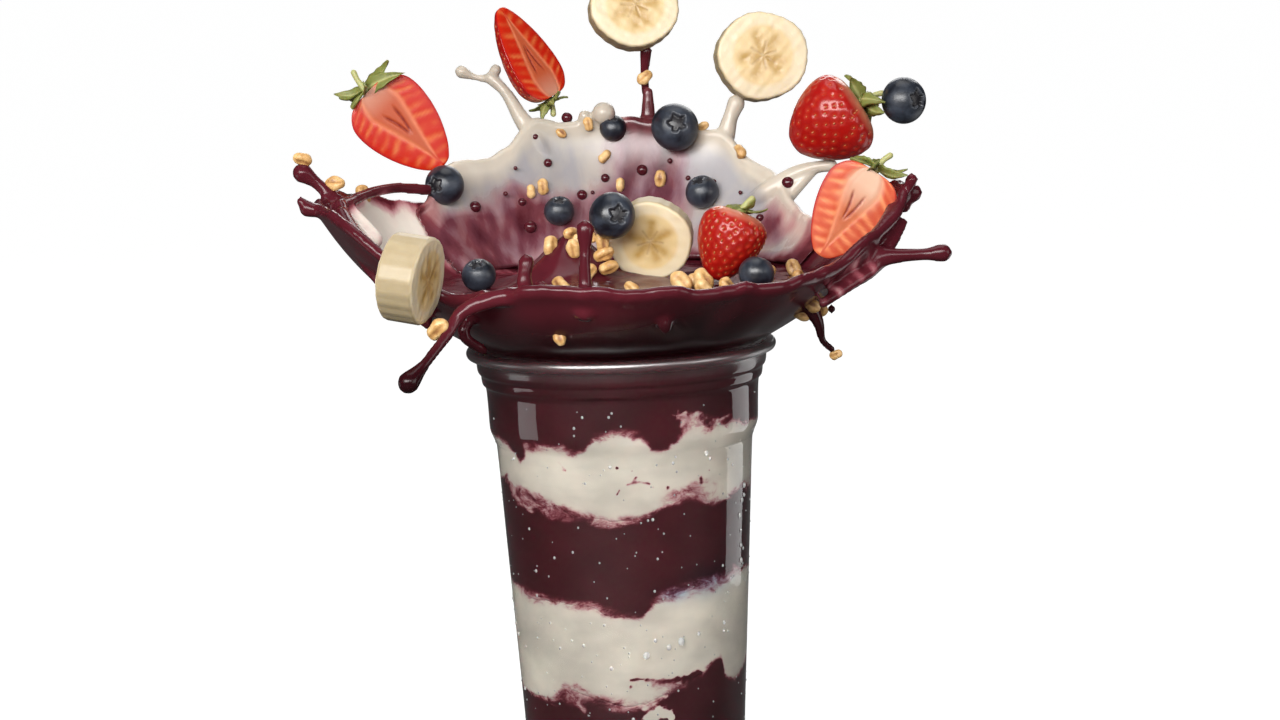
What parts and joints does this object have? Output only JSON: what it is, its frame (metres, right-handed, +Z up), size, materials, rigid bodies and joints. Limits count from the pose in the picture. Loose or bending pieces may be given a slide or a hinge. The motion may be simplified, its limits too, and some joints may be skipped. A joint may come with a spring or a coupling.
{
  "type": "acai cup",
  "caption": "Clear takeaway cup of layered acai and cream with a frozen crown splash that carries banana slices, strawberries, blueberries and granola.",
  "frame": {"origin": "middle of the cup's flat underside", "axes": "+Z up along the cup's axis, -Y towards the viewer's side where the crown is lowest, +X to the viewer's right"},
  "size_m": [0.2038, 0.1736, 0.2698],
  "materials": {
    "clear_plastic": "clear, glossy",
    "acai": "wet",
    "cream": "satin",
    "banana": "moist",
    "strawberry": "glossy",
    "leaf": "satin",
    "blueberry": "dull bloom"
  },
  "bodies": {
    "root": {"cup": "clear_plastic", "acai_bottom": "acai", "cream_lower": "cream", "acai_middle": "acai", "cream_upper": "cream", "acai_splash": "acai", "cream_splash": "cream", "banana_top": "banana", "banana_right": "banana", "banana_centre": "banana", "banana_left": "banana", "strawberry_left": "strawberry", "strawberry_high": "strawberry", "strawberry_back_right": "strawberry", "strawberry_low_right": "strawberry", "strawberry_centre": "strawberry", "calyx_left": "leaf", "calyx_high": "leaf", "calyx_back_right": "leaf", "calyx_low_right": "leaf", "calyx_centre": "leaf", "blueberry_1": "blueberry", "blueberry_2": "blueberry", "blueberry_3": "blueberry", "blueberry_4": "blueberry", "blueberry_5": "blueberry", "blueberry_6": "blueberry", "blueberry_7": "blueberry", "blueberry_8": "blueberry", "blueberry_9": "blueberry"}
  },
  "joints": []
}
